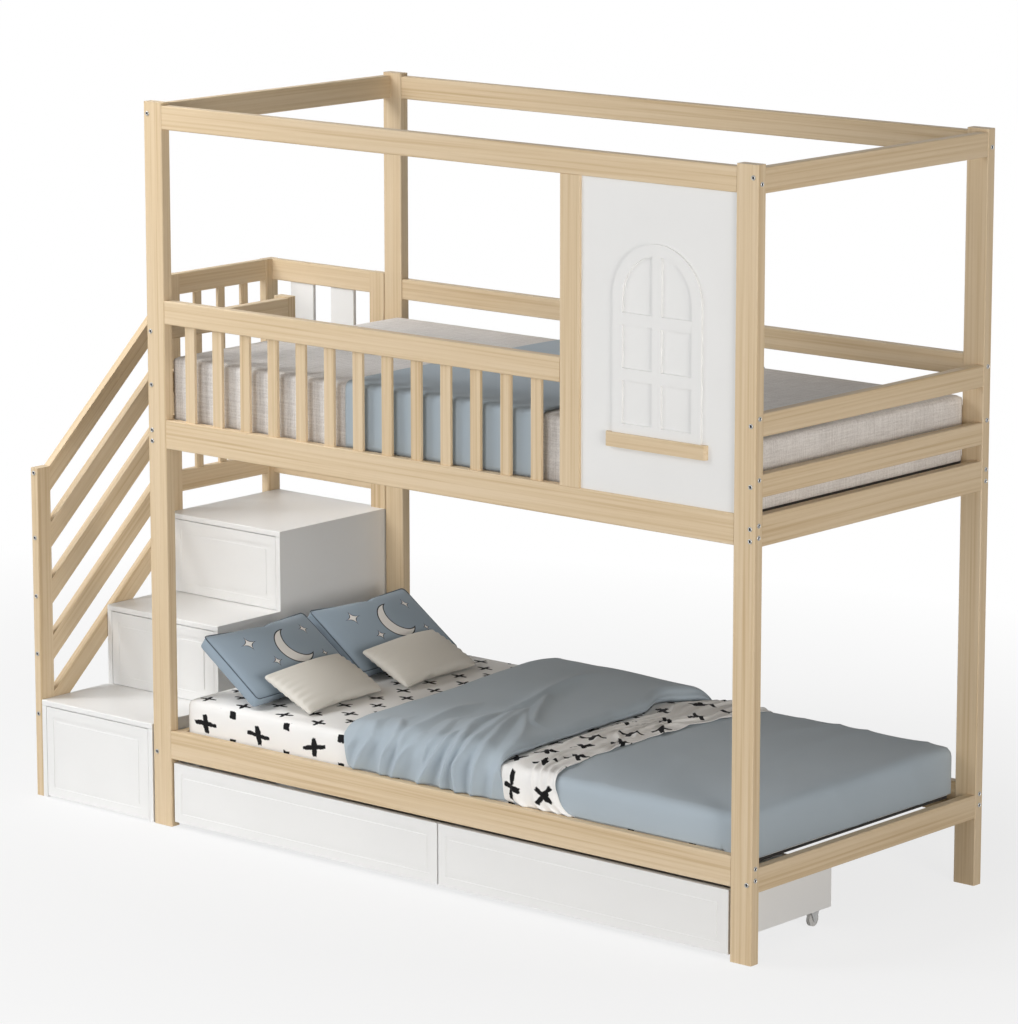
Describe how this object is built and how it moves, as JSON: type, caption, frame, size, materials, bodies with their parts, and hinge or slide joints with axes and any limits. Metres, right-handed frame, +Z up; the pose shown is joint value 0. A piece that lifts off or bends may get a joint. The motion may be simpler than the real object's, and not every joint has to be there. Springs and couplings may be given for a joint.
{
  "type": "bunk bed",
  "caption": "Wooden bunk bed with an open canopy frame, a white house-front panel with an arched window, a storage staircase with a slatted railing, and rolling drawers underneath.",
  "frame": {"origin": "on the floor, under the centre of the whole object's box", "axes": "+X along the bed towards the end away from the stairs, +Y from the front to the back, +Z up"},
  "size_m": [2.528, 0.981, 1.98],
  "materials": {
    "oak_wood": "clear satin lacquer on light oak",
    "white_lacquer": "white satin paint on board",
    "caster_steel": "zinc plated",
    "caster_plastic": "moulded",
    "grey_ticking": "woven",
    "printed_sheet": "printed cotton",
    "blue_cotton": "plain cotton",
    "cream_linen": "plain linen"
  },
  "bodies": {
    "bed": {"front_left_post": "oak_wood", "front_right_post": "oak_wood", "back_left_post": "oak_wood", "back_right_post": "oak_wood", "canopy_front_rail": "oak_wood", "canopy_back_rail": "oak_wood", "canopy_end_rails": "oak_wood", "upper_front_rail": "oak_wood", "upper_back_rail": "oak_wood", "upper_end_rails": "oak_wood", "lower_front_rail": "oak_wood", "lower_back_rail": "oak_wood", "lower_end_rails": "oak_wood", "front_guard_rail": "oak_wood", "front_guard_spindles": "oak_wood", "back_guard_rails": "oak_wood", "end_guard_rails": "oak_wood", "entry_guard_rails": "oak_wood", "entry_guard_post": "oak_wood", "panel_post": "oak_wood", "window_sill": "oak_wood", "slat_ledgers": "oak_wood", "upper_slats": "oak_wood", "lower_slats": "oak_wood", "stair_newel_post": "oak_wood", "stair_railing_posts": "oak_wood", "stair_slanted_bars": "oak_wood", "stair_side_rails": "oak_wood", "stair_side_spindles": "oak_wood", "stair_back_rails": "oak_wood", "house_panel": "white_lacquer", "window_trim": "white_lacquer", "stair_back_slats": "white_lacquer", "lower_stair_cabinet": "white_lacquer", "middle_stair_cabinet": "white_lacquer", "upper_stair_cabinet": "white_lacquer", "stair_treads": "white_lacquer", "upper_mattress": "grey_ticking", "lower_mattress": "printed_sheet", "upper_throw": "blue_cotton", "duvet": "blue_cotton", "foot_blanket": "blue_cotton", "pillows": "blue_cotton", "lumbar_cushions": "cream_linen"},
    "left_drawer": {"left_drawer_front": "white_lacquer", "left_drawer_tray": "white_lacquer", "left_drawer_caster_forks": "caster_steel"},
    "left_front_wheel_pair": {"left_drawer_front_wheels": "caster_plastic"},
    "left_back_wheel_pair": {"left_drawer_back_wheels": "caster_plastic"},
    "right_drawer": {"right_drawer_front": "white_lacquer", "right_drawer_tray": "white_lacquer", "right_drawer_caster_forks": "caster_steel"},
    "right_front_wheel_pair": {"right_drawer_front_wheels": "caster_plastic"},
    "right_back_wheel_pair": {"right_drawer_back_wheels": "caster_plastic"},
    "lower_step_drawer": {"lower_stair_drawer": "white_lacquer"},
    "middle_step_drawer": {"middle_stair_drawer": "white_lacquer"},
    "upper_step_drawer": {"upper_stair_drawer": "white_lacquer"}
  },
  "joints": [
    {"name": "left_drawer_slide", "type": "slide", "parent": "bed", "child": "left_drawer", "axis": [0, -1, 0], "range_m": [0, 0.36]},
    {"name": "left_front_wheels_roll", "type": "hinge", "parent": "left_drawer", "child": "left_front_wheel_pair", "pos_m": [-0.702, -0.3955, 0.0193], "axis": [1, 0, 0], "continuous": true},
    {"name": "left_back_wheels_roll", "type": "hinge", "parent": "left_drawer", "child": "left_back_wheel_pair", "pos_m": [-0.702, -0.1065, 0.0193], "axis": [1, 0, 0], "continuous": true},
    {"name": "right_drawer_slide", "type": "slide", "parent": "bed", "child": "right_drawer", "axis": [0, -1, 0], "range_m": [0, 0.36]},
    {"name": "right_front_wheels_roll", "type": "hinge", "parent": "right_drawer", "child": "right_front_wheel_pair", "pos_m": [0.2585, -0.3955, 0.0193], "axis": [1, 0, 0], "continuous": true},
    {"name": "right_back_wheels_roll", "type": "hinge", "parent": "right_drawer", "child": "right_back_wheel_pair", "pos_m": [0.2585, -0.1065, 0.0193], "axis": [1, 0, 0], "continuous": true},
    {"name": "lower_step_drawer_slide", "type": "slide", "parent": "bed", "child": "lower_step_drawer", "axis": [0, -1, 0], "range_m": [0, 0.34]},
    {"name": "middle_step_drawer_slide", "type": "slide", "parent": "bed", "child": "middle_step_drawer", "axis": [0, -1, 0], "range_m": [0, 0.34]},
    {"name": "upper_step_drawer_slide", "type": "slide", "parent": "bed", "child": "upper_step_drawer", "axis": [0, -1, 0], "range_m": [0, 0.34]}
  ],
  "couplings": [
    {"joint": "left_front_wheels_roll", "follows": "left_drawer_slide", "rad_per_m": 52.632},
    {"joint": "left_back_wheels_roll", "follows": "left_drawer_slide", "rad_per_m": 52.632},
    {"joint": "right_front_wheels_roll", "follows": "right_drawer_slide", "rad_per_m": 52.632},
    {"joint": "right_back_wheels_roll", "follows": "right_drawer_slide", "rad_per_m": 52.632}
  ]
}
